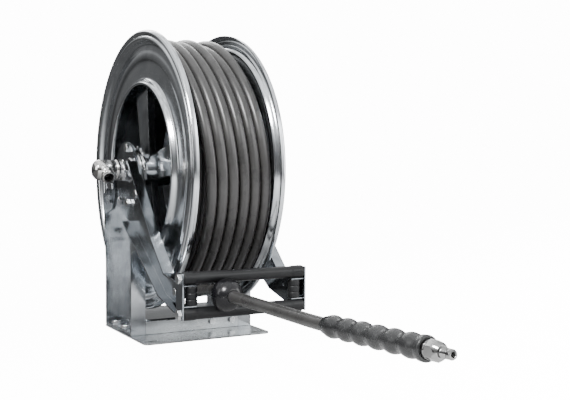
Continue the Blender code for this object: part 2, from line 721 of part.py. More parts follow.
def core():
    profile = ring(CORE_INNER_RADIUS, CORE_OUTER_RADIUS, -CORE_HALF_WIDTH, CORE_HALF_WIDTH)
    turned("drum_core", profile, STAINLESS, drum, steps=40)


# ---------------------------------------------------------------- swivel


def swivel_inlet():
    """The inlet elbow that stays still while the axle turns in it, and its seal."""
    neck, groove = 12.2, 14.4
    profile = [
        (0, -136.0),
        (6.0, -136.0),
        (6.0, -116.6),
        (neck, -116.6),
        (neck, -112.4),
        (groove, -112.4),
        (groove, -108.6),
        (neck, -108.6),
        (neck, -106.6),
        (15.0, -106.6),
        (16.0, -108.0),
        (16.0, -138.0),
        (14.5, -143.0),
        (10.5, -146.6),
        (5.0, -148.2),
        (0, -148.6),
    ]
    obj = turned("swivel_housing", profile, ZINC, swivel, steps=24, closed=False)
    port_x, reach = -128.0, 25.0
    facing = (math.radians(90 + 28), 0, 0)
    boss = turned_tool(
        "port_boss",
        [(0, reach), (10.2, reach), (11.2, reach - 1), (11.2, 2), (0, 2)],
        swivel,
        location=(port_x, 0, 0),
        rotation=facing,
        steps=20,
        closed=False,
    )
    mouth = tool("port_mouth", rods_mesh("port_mouth", [("Z", 7.6, 10, 30, (0, 0, 0))], sides=20), swivel)
    place(mouth, swivel, (port_x, 0, 0), facing)
    way = tool("port_way", rods_mesh("port_way", [("Z", 4.0, 0.5, 15, (0, 0, 0))]), swivel)
    place(way, swivel, (port_x, 0, 0), facing)
    plug = rods_mesh("drain_plug", [("Z", 4.0, -20.5, -14.0, (-118.0, 0, 0))])
    plug = tool("drain_plug", plug, swivel)
    combine(obj, "UNION", boss, plug)
    combine(obj, "DIFFERENCE", mouth, way)
    turned("swivel_seal", ring(12.1, 14.1, -112.2, -108.8), BLACK_PLASTIC, swivel, steps=24)


# ---------------------------------------------------------------- roller guide


def long_roller(end, name):
    """A horizontal roller with thicker ends."""
    tip, flare = ROLLER_HALF_LENGTH, ROLLER_RADIUS + 0.8
    outer = [
        (flare - 2, tip),
        (flare, tip - 2),
        (flare, tip - 17),
        (ROLLER_RADIUS, tip - 21),
        (ROLLER_RADIUS, 21 - tip),
        (flare, 17 - tip),
        (flare, 2 - tip),
        (flare - 2, -tip),
    ]
    profile = outer + [(BOLT_HOLE_RADIUS, -tip), (BOLT_HOLE_RADIUS, tip)]
    place_of = (0, GUIDE_Y, GUIDE_Z + end * GUIDE_HALF_GAP)
    turned(name, profile, BLACK_PLASTIC, axle, location=place_of, steps=24)


def side_roller(side, name):
    """A short upright roller with grooves."""
    tip, rings = SIDE_ROLLER_HALF_LENGTH, 3
    outer = []
    for index in range(rings):
        top = tip - index * 2 * tip / rings
        outer += [(7.6, top), (8.6, top - 1), (8.6, top - 2 * tip / rings + 1)]
    profile = outer + [(7.6, -tip), (2.9, -tip), (2.9, tip)]
    place_of = (side * SIDE_ROLLER_X, GUIDE_Y, GUIDE_Z)
    turned(name, profile, BLACK_PLASTIC, axle, location=place_of, rotation=(0, 0, 0), steps=16)


# ---------------------------------------------------------------- hose end


def lead():
    """The hose from the guide into the grip: straight, then bent up a little in front of the grip."""
    straight = [(0, -s, 0) for s in (-LEAD_BACK, 30, 80, 130, 180, GRIP_PIVOT - 20)]
    rise = Vector((0, -math.cos(GRIP_LIFT), math.sin(GRIP_LIFT)))
    turning, lifted = [], Vector((0, -GRIP_PIVOT, 0))
    for step in range(1, 4):
        t = step / 4
        start, end = Vector(straight[-1]), lifted + 20 * rise
        turning.append((1 - t) ** 2 * start + 2 * t * (1 - t) * lifted + t**2 * end)
    inside = [lifted + length * rise for length in (20, 60, 110, GRIP_START + 155)]
    tube("hose_lead", straight + turning + inside, HOSE_RADIUS, HOSE_RUBBER, hose)


def stopper():
    """A rubber ball in two clamped halves that stops the hose at the rollers."""
    centre = (0, -STOPPER_DISTANCE, 0)
    reach = STOPPER_RADIUS + 5
    for side, name in ((1, "stopper_upper"), (-1, "stopper_lower")):

        def build(shape):
            bmesh.ops.create_uvsphere(shape, u_segments=24, v_segments=14, radius=STOPPER_RADIUS)

        obj = piece(name, mesh_from(name, build), BALL_RUBBER, hose, location=centre, smooth=True)
        low, high = sorted((side * 0.25, -side * reach))
        half = box_mesh(name + "_cut", (-reach, -reach, low), (reach, reach, high))
        combine(obj, "DIFFERENCE", tool(name + "_cut", half, hose, location=centre))
        bore = rods_mesh(name + "_bore", [("Y", HOSE_BORE, -reach, reach, (0, 0, 0))], sides=16)
        combine(obj, "DIFFERENCE", tool(name + "_bore", bore, hose, location=centre))


def grip():
    """A rubber sleeve of six bulbs with a collar at its end."""
    neck, bulb, samples = 10.9, 13.3, 5
    outer = [(9.6, GRIP_START), (neck - 0.2, GRIP_START + 0.8)]
    for step in range(BULB_COUNT * samples + 1):
        swell = 0.5 - 0.5 * math.cos(2 * math.pi * step / samples)
        outer.append((neck + (bulb - neck) * swell**0.7, GRIP_START + 1.5 + step * BULB_PITCH / samples))
    end = GRIP_START + GRIP_LENGTH
    outer += [(13.2, outer[-1][1] + 3), (13.4, end - 1.5), (12.4, end)]
    inner = [(10.4, end), (10.4, end - 26), (HOSE_BORE, end - 27), (HOSE_BORE, GRIP_START)]
    profile = (inner + outer)[::-1]
    turned("grip_sleeve", profile, GRIP_RUBBER, handle, rotation=ALONG_HOSE, steps=20)


def end_fitting():
    """The crimped ferrule inside the grip, the chamfered hexagon and the nose."""
    start = GRIP_START + GRIP_LENGTH - 25
    ferrule = [(0, 29.0), (9.6, 29.0), (10.0, 28.0), (10.0, 0), (0, 0)]
    turned("end_ferrule", ferrule, ZINC, handle, (0, -start, 0), ALONG_HOSE, steps=20, closed=False)
    foot = (0, -start - 29 - GAP, 0)
    cone = [(0, 17.6), (7.0, 17.6), (12.0, 9.0), (12.0, -1.0), (0, -1.0)]
    chamfer = turned_tool("end_nut_cone", cone, handle, foot, ALONG_HOSE, steps=20, closed=False)
    hexagon = rods_mesh("end_nut", [("Z", 10.9, 0, 17.3, (0, 0, 0))], sides=6)
    combine(piece("end_nut", hexagon, ZINC, handle, foot, ALONG_HOSE), "INTERSECT", chamfer)
    nose = [(2.6, 15.0), (4.6, 15.0), (5.4, 13.6), (5.4, 8.0), (4.7, 7.2), (5.4, 6.4), (5.4, 0), (2.6, 0)]
    tip = (0, foot[1] - 17.3 - GAP, 0)
    turned("end_nipple", nose, ZINC, handle, tip, ALONG_HOSE, steps=16)


axle = empty("axle_height", (0, 0, AXLE_HEIGHT))
drum = empty("drum_axis", (0, 0, 0), parent=axle)
swivel = empty("swivel_axis", (0, 0, 0), parent=axle)
hose = empty("hose_axis", (HOSE_X, GUIDE_Y, HOSE_Z), parent=axle)
handle = empty("grip_axis", (0, -GRIP_PIVOT, 0), rotation=(-GRIP_LIFT, 0, 0), parent=hose)

base_plate()
base_beam()
for SIDE, LABEL in ((-1, "left"), (1, "right")):
    post(SIDE, f"{LABEL}_post")
    arm(SIDE, f"{LABEL}_arm")
    bearing(SIDE, f"{LABEL}_bearing")
    guide_bracket(SIDE, f"{LABEL}_guide_bracket")
    side_axle(SIDE, f"{LABEL}_roller_axle")
    side_roller(SIDE, f"{LABEL}_roller")
    disc(SIDE, f"{LABEL}_disc")
for END, LABEL in ((1, "top"), (-1, "bottom")):
    roller_axle(END, f"{LABEL}_roller_axle")
    long_roller(END, f"{LABEL}_roller")
spring_case()
pawl()
bolts()
hose_run()
core()
spider()
ratchet()
shaft()
feed()
wound_hose()
swivel_inlet()
lead()
stopper()
grip()
end_fitting()
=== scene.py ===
"""Looks of the spring-return hose reel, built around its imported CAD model.

Metres, +Z up; the hose leaves towards -Y. Shapes are written in millimetres from the middle of the drum,
as in the CAD source, and at() or a mesh builder turns them into metres in the frame's coordinates.
"""

import json
import math

import bmesh
import bpy
from mathutils import Matrix, Vector


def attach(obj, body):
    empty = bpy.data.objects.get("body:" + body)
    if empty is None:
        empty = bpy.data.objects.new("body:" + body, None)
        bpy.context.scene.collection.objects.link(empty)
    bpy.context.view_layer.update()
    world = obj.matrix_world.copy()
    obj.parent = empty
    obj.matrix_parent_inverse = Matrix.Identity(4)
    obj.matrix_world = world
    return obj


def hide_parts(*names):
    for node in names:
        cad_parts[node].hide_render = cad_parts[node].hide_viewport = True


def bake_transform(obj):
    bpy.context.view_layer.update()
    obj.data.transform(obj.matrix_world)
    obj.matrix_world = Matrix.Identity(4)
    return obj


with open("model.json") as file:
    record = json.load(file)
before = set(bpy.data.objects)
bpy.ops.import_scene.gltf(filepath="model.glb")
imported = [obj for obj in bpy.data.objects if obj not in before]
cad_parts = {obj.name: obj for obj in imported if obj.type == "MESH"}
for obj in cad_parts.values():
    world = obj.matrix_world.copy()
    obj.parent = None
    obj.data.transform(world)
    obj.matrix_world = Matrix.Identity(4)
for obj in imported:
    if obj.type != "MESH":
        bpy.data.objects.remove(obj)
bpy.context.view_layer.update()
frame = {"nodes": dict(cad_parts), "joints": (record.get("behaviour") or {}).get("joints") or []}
nodes = frame["nodes"]
joints = {joint["name"]: joint for joint in frame["joints"]}

MM = 0.001
AXLE = Vector(joints["drum_spin"]["pos_m"])
X, Y, Z = Vector((1, 0, 0)), Vector((0, 1, 0)), Vector((0, 0, 1))

# The drum and its hose, in millimetres
HOSE_RADIUS = 8.2
PITCH = 17.4
OUTER_LAYER = 198.0
INNER_LAYER = 181.6
CORE_OUTER_RADIUS = 157.0
FIRST_SLOT = -3 * PITCH
DISC_RADIUS = 220.0
DISC_THICKNESS = 1.6

# The roller guide and the hose's end, in millimetres
TOP_ROLLER = (Vector(joints["top_roller_spin"]["pos_m"]) - AXLE) / MM
BOTTOM_ROLLER = (Vector(joints["bottom_roller_spin"]["pos_m"]) - AXLE) / MM
GUIDE = (TOP_ROLLER + BOTTOM_ROLLER) / 2
HOSE_X = -37.0
HOSE_Z = -168.4
LEAD_BACK = 13.7
STOPPER_RADIUS = 22.5
STOPPER_DISTANCE = 21.3
GRIP_PIVOT = 258.0
GRIP_LIFT = math.radians(2.2)
GRIP_START = 21.0
GRIP_LENGTH = 182.0
HOSE_AXIS = Vector((HOSE_X, GUIDE.y, HOSE_Z))
RISE = Vector((0, -math.cos(GRIP_LIFT), math.sin(GRIP_LIFT)))
GRIP_FOOT = HOSE_AXIS + Vector((0, -GRIP_PIVOT, 0))


# ---------------------------------------------------------------- shapes


def at(x, y, z):
    """A point in the frame, from millimetres measured from the middle of the drum."""
    return AXLE + Vector((x, y, z)) * MM


def smooth_step(t):
    t = min(max(t, 0.0), 1.0)
    return t * t * (3 - 2 * t)


def hermite(start, leaving, end, arriving, steps):
    """Points on a curve from start to end that has the given directions there; the end itself is left out."""
    reach = (end - start).length
    made = []
    for step in range(steps):
        t = step / steps
        made.append(
            start * (2 * t**3 - 3 * t**2 + 1)
            + leaving.normalized() * reach * (t**3 - 2 * t**2 + t)
            + end * (3 * t**2 - 2 * t**3)
            + arriving.normalized() * reach * (t**3 - t**2)
        )
    return made


def flowing(points, steps):
    """A Catmull-Rom curve through the points."""
    route = [Vector(point) for point in points]
    ends = [2 * route[0] - route[1], *route, 2 * route[-1] - route[-2]]
    made = []
    for a, b, c, d in zip(ends, ends[1:], ends[2:], ends[3:]):
        for step in range(steps):
            t = step / steps
            square, cube = (2 * a - 5 * b + 4 * c - d) * t**2, (3 * b - a - 3 * c + d) * t**3
            made.append(0.5 * (2 * b + (c - a) * t + square + cube))
    return [*made, route[-1]]


def filleted(points, radius, closed=True, steps=3):
    """An outline with its corners rounded as far as there is room."""
    corners = [Vector(point) for point in points]
    made = []
    for index, corner in enumerate(corners):
        if not closed and index in (0, len(corners) - 1):
            made.append(corner)
            continue
        back, onward = corners[index - 1] - corner, corners[(index + 1) % len(corners)] - corner
        reach = min(radius, 0.45 * back.length, 0.45 * onward.length)
        start, end = corner + back.normalized() * reach, corner + onward.normalized() * reach
        for step in range(steps + 1):
            t = step / steps
            made.append((1 - t) ** 2 * start + 2 * t * (1 - t) * corner + t**2 * end)
    return made


def finished(name, shape, sharp=40):
    """A mesh from a bmesh: faces out, smooth, with sharp edges kept."""
    bmesh.ops.recalc_face_normals(shape, faces=shape.faces)
    if shape.calc_volume(signed=True) < 0:
        bmesh.ops.reverse_faces(shape, faces=shape.faces)
    mesh = bpy.data.meshes.new(name)
    shape.to_mesh(mesh)
    shape.free()
    mesh.shade_smooth()
    mesh.set_sharp_from_angle(angle=math.radians(sharp))
    return mesh


def revolved_shape(profile, centre, axis, steps, closed=True):
    """A turned shape: (radius, height) points in millimetres round an axis through centre."""
    shape = bmesh.new()
    ring = [shape.verts.new((point[0], 0, point[1])) for point in profile]
    edges = [shape.edges.new(pair) for pair in zip(ring, ring[1:])]
    if closed:
        edges.append(shape.edges.new((ring[-1], ring[0])))
    bmesh.ops.spin(
        shape,
        geom=ring + edges,
        cent=(0, 0, 0),
        axis=(0, 0, 1),
        angle=2 * math.pi,
        steps=steps,
        use_merge=True,
    )
    bmesh.ops.remove_doubles(shape, verts=shape.verts, dist=1e-4)
    facing = Vector(axis).to_track_quat("Z", "Y").to_matrix().to_4x4()
    shape.transform(Matrix.Translation(at(*centre)) @ facing @ Matrix.Scale(MM, 4))
    return shape


def revolved(name, profile, centre, axis, steps=64, closed=True, sharp=40):
    return finished(name, revolved_shape(profile, centre, axis, steps, closed), sharp)


def tube(name, route, radius, sides=28):
    """A hose along a route in millimetres. Its UVs run round it and along it, in metres."""
    points = [at(*point) for point in route]
    ways = [(b - a).normalized() for a, b in zip(points, points[1:])]
    side = ways[0].orthogonal().normalized()
    shape = bmesh.new()
    rings, lengths, travelled = [], [], 0.0
    for index, point in enumerate(points):
        before, after = ways[max(index - 1, 0)], ways[min(index, len(ways) - 1)]
        way = (before + after).normalized()
        side = (side - way * side.dot(way)).normalized()
        other = way.cross(side)
        if index:
            travelled += (point - points[index - 1]).length
        lengths.append(travelled)
        ring = []
        for corner in range(sides):
            angle = 2 * math.pi * corner / sides
            offset = side * math.cos(angle) + other * math.sin(angle)
            ring.append(shape.verts.new(point + offset * radius * MM))
        rings.append(ring)
    layer = shape.loops.layers.uv.new("along")
    for index, (low, high) in enumerate(zip(rings, rings[1:])):
        for corner in range(sides):
            following = (corner + 1) % sides
            face = shape.faces.new((low[corner], low[following], high[following], high[corner]))
            spots = ((corner, index), (corner + 1, index), (corner + 1, index + 1), (corner, index + 1))
            for loop, (around, along) in zip(face.loops, spots):
                loop[layer].uv = (around / sides * 2 * math.pi * radius * MM, lengths[along])
    shape.faces.new(rings[0][::-1])
    shape.faces.new(rings[-1])
    return finished(name, shape, 60)


def rod(radius, low, high, centre, axis, sides=32):
    return revolved_shape([(0, high), (radius, high), (radius, low), (0, low)], centre, axis, sides, closed=False)


def link(name, mesh, look):
    obj = bpy.data.objects.new(name, mesh)
    bpy.context.scene.collection.objects.link(obj)
    mesh.materials.clear()
    mesh.materials.append(look)
    return obj


def piece(name, mesh, look, slot, body, *replaced):
    """A finished piece on its body, in place of CAD nodes."""
    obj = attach(link(name, mesh, look), body)
    if replaced:
        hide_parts(*replaced)
    return obj


def combined(name, start, steps):
    """A mesh from one shape and a list of (operation, shape)."""
    tools = []
    base = bpy.data.objects.new(name, finished(name, start))
    bpy.context.scene.collection.objects.link(base)
    for index, (operation, shape) in enumerate(steps):
        other = bpy.data.objects.new(f"{name}_tool_{index}", finished(f"{name}_tool_{index}", shape))
        bpy.context.scene.collection.objects.link(other)
        tools.append(other)
        modifier = base.modifiers.new(operation.lower(), "BOOLEAN")
        modifier.operation = operation
        modifier.object = other
        modifier.solver = "EXACT"
    bpy.context.view_layer.update()
    mesh = bpy.data.meshes.new_from_object(base.evaluated_get(bpy.context.evaluated_depsgraph_get()))
    for obj in [base, *tools]:
        bpy.data.objects.remove(obj, do_unlink=True)
    mesh.shade_smooth()
    mesh.set_sharp_from_angle(angle=math.radians(32))
    return mesh


def dress(name, look, edge=0.4, bevelled=True):
    """Gives a CAD node its material, smooth shading and rounded edges."""
    obj = nodes[name]
    mesh = obj.data
    if "custom_normal" in mesh.attributes:
        mesh.attributes.remove(mesh.attributes["custom_normal"])
    mesh.materials.clear()
    mesh.materials.append(look)
    mesh.shade_smooth()
    weld = obj.modifiers.new("weld", "WELD")
    weld.merge_threshold = 1e-5
    if bevelled:
        flat = obj.modifiers.new("flat", "DECIMATE")
        flat.decimate_type = "DISSOLVE"
        flat.angle_limit = math.radians(0.5)
        rounded = obj.modifiers.new("edges", "BEVEL")
        rounded.width = edge * MM
        rounded.segments = 2
        rounded.limit_method = "ANGLE"
        rounded.angle_limit = math.radians(32)
        rounded.use_clamp_overlap = True
    normals = obj.modifiers.new("normals", "WEIGHTED_NORMAL")
    normals.keep_sharp = True


# ---------------------------------------------------------------- materials


def node(tree, kind, inputs=None, **settings):
    """A shader node; an input is a value or the socket that feeds it."""
    made = tree.nodes.new(kind)
    for key, value in settings.items():
        setattr(made, key, value)
    for key, value in (inputs or {}).items():
        if isinstance(value, bpy.types.NodeSocket):
            tree.links.new(value, made.inputs[key])
        else:
            made.inputs[key].default_value = value
    return made


def principled(name, metallic, **sockets):
    made = bpy.data.materials.new(name)
    made.use_nodes = True
    tree = made.node_tree
    shader = tree.nodes["Principled BSDF"]
    shader.inputs["Metallic"].default_value = metallic
    for key, value in sockets.items():
        shader.inputs[key.replace("_", " ")].default_value = value
    return made, tree, shader


def ranged(tree, value, low, high, source=(0.3, 0.7)):
    inputs = {"Value": value, "From Min": source[0], "From Max": source[1], "To Min": low, "To Max": high}
    return node(tree, "ShaderNodeMapRange", inputs).outputs["Result"]


def tinted(tree, factor, dark, light):
    mix = node(tree, "ShaderNodeMix", data_type="RGBA")
    tree.links.new(factor, mix.inputs[0])
    mix.inputs[6].default_value = (*dark, 1)
    mix.inputs[7].default_value = (*light, 1)
    return mix.outputs[2]


def noise(tree, vector, scale, detail=3.0, distortion=0.0):
    inputs = {"Vector": vector, "Scale": scale, "Detail": detail, "Distortion": distortion}
    return node(tree, "ShaderNodeTexNoise", inputs).outputs[0]


def bumped(tree, shader, height, strength, distance, **under):
    inputs = {"Height": height, "Strength": strength, "Distance": distance, **under}
    normal = node(tree, "ShaderNodeBump", inputs).outputs[0]
    tree.links.new(normal, shader.inputs["Normal"])
    return normal


def place_of(tree):
    return node(tree, "ShaderNodeTexCoord").outputs["Object"]


def axle_polar(tree):
    """(radius from the axle, 0, along the axle): rings round the axle, as a lathe or a press leaves them."""
    offset = node(tree, "ShaderNodeVectorMath", {0: place_of(tree), 1: AXLE}, operation="SUBTRACT").outputs[0]
    flat = node(tree, "ShaderNodeVectorMath", {0: offset, 1: (0, 1, 1)}, operation="MULTIPLY").outputs[0]
    radius = node(tree, "ShaderNodeVectorMath", {0: flat}, operation="LENGTH").outputs["Value"]
    return node(tree, "ShaderNodeCombineXYZ", {"X": radius}).outputs[0]


def metal(name, dark, light, roughness, stretch, grain=0.15, polar=False, warp=0.0, **sockets):
    """Bare or plated metal: fine drawn or turned lines, and soft clouds of handling in colour and gloss.

    Thin sheet is never quite flat; warp, in metres, is how far it bends its reflections.
    """
    made, tree, shader = principled(name, 1.0, **sockets)
    where = axle_polar(tree) if polar else place_of(tree)
    drawn = node(tree, "ShaderNodeVectorMath", {0: where, 1: stretch}, operation="MULTIPLY").outputs[0]
    lines = noise(tree, drawn, 1.0, 4.0)
    clouds = noise(tree, place_of(tree), 16.0, 4.0, 0.6)
    both = node(tree, "ShaderNodeMath", {0: lines, 1: clouds}, operation="ADD").outputs[0]
    tree.links.new(tinted(tree, ranged(tree, clouds, 0, 1), dark, light), shader.inputs["Base Color"])
    tree.links.new(ranged(tree, both, *roughness, source=(0.7, 1.3)), shader.inputs["Roughness"])
    under = bumped(tree, shader, noise(tree, place_of(tree), 15.0, 2.0), 1.0, warp)
    bumped(tree, shader, lines, grain, 0.00006, Normal=under)
    return made


def rubber(name, dark, light, roughness, scale, strength, depth, **sockets):
    """Moulded rubber or plastic: a fine matt grain, with slightly polished high spots."""
    made, tree, shader = principled(name, 0.0, **sockets)
    grain = noise(tree, place_of(tree), scale, 5.0)
    clouds = noise(tree, place_of(tree), 22.0, 3.0, 0.4)
    both = node(tree, "ShaderNodeMath", {0: grain, 1: clouds}, operation="ADD").outputs[0]
    tree.links.new(tinted(tree, ranged(tree, clouds, 0, 1), dark, light), shader.inputs["Base Color"])
    tree.links.new(ranged(tree, both, *roughness, source=(0.7, 1.3)), shader.inputs["Roughness"])
    bumped(tree, shader, grain, strength, depth)
    return made


def hose_cover(name):
    """Rubber with the fine slanting print of the cloth that it was cured in."""
    made, tree, shader = principled(name, 0.0, Specular_IOR_Level=0.5)
    spots = node(tree, "ShaderNodeUVMap", uv_map="along").outputs[0]
    prints = []
    for slant in (0.6, -0.6):
        turned = node(tree, "ShaderNodeMapping", {"Vector": spots, "Rotation": (0, 0, slant)}).outputs[0]
        wave = node(tree, "ShaderNodeTexWave", {"Vector": turned, "Scale": 260.0, "Distortion": 0.8})
        prints.append(wave.outputs["Fac"])
    woven = node(tree, "ShaderNodeMath", {0: prints[0], 1: prints[1]}, operation="MULTIPLY").outputs[0]
    dust = noise(tree, place_of(tree), 30.0, 5.0, 0.5)
    rough = node(tree, "ShaderNodeMath", {0: woven, 1: dust}, operation="ADD").outputs[0]
    colour = tinted(tree, ranged(tree, dust, 0, 1), (0.024, 0.0235, 0.023), (0.040, 0.0392, 0.0384))
    tree.links.new(colour, shader.inputs["Base Color"])
    tree.links.new(ranged(tree, rough, 0.27, 0.38, source=(0.4, 1.3)), shader.inputs["Roughness"])
    bumped(tree, shader, woven, 0.12, 0.0001)
    return made


SPUN = metal(
    "spun_stainless", (0.50, 0.52, 0.54), (0.62, 0.64, 0.66), (0.12, 0.22), (900, 0, 0), 0.04, polar=True, warp=0.0004
)
SHEET = metal(
    "stainless_sheet", (0.34, 0.36, 0.38), (0.52, 0.54, 0.56), (0.10, 0.20), (900, 900, 40), 0.12, warp=0.0022
)
# A darker copy of the stainless sheet for the arms and guide brackets: its low colour is painted shade, for the dark
# reflections their webs show.
SHADED_ARM_SHEET = metal("arm_sheet_painted_shade", (0.24, 0.26, 0.28), (0.38, 0.40, 0.42), (0.10, 0.18), (900, 40, 900), 0.1, warp=0.0012)
BRUSHED = metal(
    "brushed_stainless", (0.40, 0.42, 0.43), (0.58, 0.60, 0.61), (0.16, 0.30), (30, 1500, 1500), 0.25, warp=0.0024
)
ZINC = metal("bright_plating", (0.62, 0.63, 0.64), (0.76, 0.77, 0.78), (0.10, 0.22), (500, 500, 500), 0.1)
NICKEL = metal("polished_fitting", (0.52, 0.51, 0.50), (0.66, 0.65, 0.63), (0.07, 0.16), (300, 300, 300), 0.08)
# A darker copy of the polished plating for the hose end's fitting: its low colour is painted shade, darkening its
# reflections of the bright sky above.
SHADED_FITTING = metal("end_fitting", (0.22, 0.22, 0.22), (0.36, 0.36, 0.355), (0.08, 0.16), (300, 300, 300), 0.08)
SPRING_STEEL = metal(
    "dark_steel", (0.05, 0.052, 0.055), (0.10, 0.105, 0.11), (0.35, 0.5), (700, 0, 0), polar=True
)
HOSE = hose_cover("hose_cover")
ROLLER = rubber(
    "roller_plastic",
    (0.005, 0.005, 0.006),
    (0.013, 0.0135, 0.014),
    (0.30, 0.48),
    900,
    0.2,
    0.0001,
    Specular_IOR_Level=0.25,
)
BALL = rubber(
    "stopper_rubber",
    (0.005, 0.005, 0.006),
    (0.010, 0.010, 0.011),
    (0.20, 0.30),
    700,
    0.08,
    0.0001,
    Specular_IOR_Level=0.35,
)
GRIP = rubber(
    "grip_rubber", (0.010, 0.0102, 0.0105), (0.026, 0.0265, 0.027), (0.13, 0.32), 420, 0.6, 0.0005
)
SEAL = rubber("seal_rubber", (0.012, 0.012, 0.012), (0.02, 0.02, 0.02), (0.35, 0.45), 800, 0.1, 0.0001)


# ---------------------------------------------------------------- camera


def make_camera():
    camera = bpy.data.objects.new("camera", bpy.data.cameras.new("camera"))
    bpy.context.scene.collection.objects.link(camera)
    bpy.context.scene.camera = camera
    camera.data.sensor_width = 36.0
    camera.data.lens = 56.8
    camera.location = (-0.572, -1.360, 0.2765)
    forward = Vector((0.4906, 0.8702, -0.0452))
    roll = Matrix.Rotation(0.0067, 4, "Z")
    facing = forward.to_track_quat("-Z", "Y").to_matrix().to_4x4()
    camera.rotation_euler = (facing @ roll).to_euler()


# ---------------------------------------------------------------- hose


def lead():
    """The free hose from the rollers into the grip, which the return spring draws straight."""
    straight = [(0, -s, 0) for s in (-LEAD_BACK, 30, 80, 130, 180, GRIP_PIVOT - 20)]
    lifted = Vector((0, -GRIP_PIVOT, 0))
    turning = []
    for step in range(1, 4):
        t = step / 4
        start, end = Vector(straight[-1]), lifted + 20 * RISE
        turning.append((1 - t) ** 2 * start + 2 * t * (1 - t) * lifted + t**2 * end)
    inside = [lifted + length * RISE for length in (20, 60, 110, GRIP_START + 155)]
    route = [HOSE_AXIS + Vector(point) for point in straight + turning + inside]
    # More rings near the guide, where the hose stretches out of the drum
    near = [route[0] + Vector((0, -1.5 * step, 0)) for step in range(12)]
    path = near + route[1:]
    obj = link("hose_lead_cover", tube("hose_lead_cover", path, HOSE_RADIUS), HOSE)
    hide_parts("hose_lead")
    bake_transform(obj)


def run():
    """The hose from the drum's lowest point, over the base, to the rollers."""
    start = Vector((FIRST_SLOT, -25.2, -196.4))
    middle = Vector((-45.6, -109.0, -185.2))
    end = Vector((HOSE_X, GUIDE.y + LEAD_BACK + 0.05, HOSE_Z))
    leaving, passing = Vector((0.0, -0.992, 0.127)), Vector((0.115, -0.984, 0.134))
    route = hermite(start, leaving, middle, passing, 12) + hermite(middle, passing, end + 6 * Y, -Y, 12)
    route += [end + 6 * Y, end]
    piece("hose_run_cover", tube("hose_run_cover", route, HOSE_RADIUS), HOSE, "hose_rubber", "frame", "hose_run")


def outer_layer():
    """The drum's top layer of hose, wound from the right flange to where it leaves at the left one.
    """
    lifts = (0.0, 0.5, -0.5, 3.5, -4.5, 3.5)
    per_turn, turns = 100, 6.4
    start = -0.02
    count = round((turns - start) * per_turn)
    route = []
    for step in range(count + 1):
        turn = start + step / per_turn
        whole, part = divmod(max(turn, 0.0), 1.0)
        slot = min(whole + smooth_step((part - 0.56) / 0.25), 6.0)
        lift = lifts[min(int(whole), 5)] * smooth_step(1 - abs(part - 0.50) / 0.17)
        sink = smooth_step((turn - 6.0) / 0.33) * (OUTER_LAYER - INNER_LAYER)
        sway = 0.35 * math.sin(2 * math.pi * turn * 1.37) * smooth_step(turn * 3)
        radius = OUTER_LAYER + lift - sink + 0.25 * math.sin(2 * math.pi * turn * 2.23)
        angle = 2 * math.pi * turn
        across = FIRST_SLOT + PITCH * slot + sway
        route.append((across, radius * math.sin(angle), -radius * math.cos(angle)))
    mesh = tube("hose_outer_layer", route, HOSE_RADIUS)
    obj = link("hose_outer_layer", mesh, HOSE)
    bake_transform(obj)


def inner_layers():
    """The layers below, whose turns show at the left flange and in the gap at the top right."""
    outline = [(CORE_OUTER_RADIUS + 0.4, 3.5 * PITCH - 0.3), (INNER_LAYER, 3.5 * PITCH - 0.3)]
    for slot in range(7):
        middle = 3 * PITCH - slot * PITCH
        for step in range(13):
            angle = math.pi * step / 12
            height = middle + HOSE_RADIUS * math.cos(angle) * 1.02
            outline.append((INNER_LAYER + HOSE_RADIUS * math.sin(angle), height))
        if slot < 6:
            outline.append((INNER_LAYER - 2.0, middle - PITCH / 2))
    outline += [(INNER_LAYER, 0.3 - 3.5 * PITCH), (CORE_OUTER_RADIUS + 0.4, 0.3 - 3.5 * PITCH)]
    mesh = revolved("hose_inner_layers", outline, (0, 0, 0), X, 144, sharp=60)
    piece("hose_inner_layers", mesh, INNER_HOSE, "hose_rubber", "drum", "hose_pack")


def feed():
    """The short hose inside the drum, between the hub and the core, and its crimped ferrule."""
    top, middle, low = (37.0, -69.0), (30.0, -83.0), (23.0, -97.0)
    route = [(25.5, -12.0), (38.0, -17.0), (44.0, -40.0), top, middle, low, (-0.2, -143.5)]
    points = flowing([(-38.0, *point) for point in route], 8)
    piece("feed_hose_cover", tube("feed_hose_cover", points, HOSE_RADIUS), HOSE, "hose_rubber", "drum", "feed_hose")
    outer = []
    for band in range(3):
        height = 13.0 - 9.0 * band
        outer += [(10.6, height), (11.6, height - 1.2), (11.6, height - 5.0), (10.6, height - 6.2)]
    profile = filleted(outer + [(10.6, -13.0), (9.1, -13.0), (9.1, 13.0)], 0.7)
    along = Vector((0, top[0] - low[0], top[1] - low[1]))
    mesh = revolved("feed_ferrule_bright", profile, (-38.0, *middle), along)
    piece("feed_ferrule_bright", mesh, ZINC, "plated_steel", "drum", "feed_ferrule")


# ---------------------------------------------------------------- drum


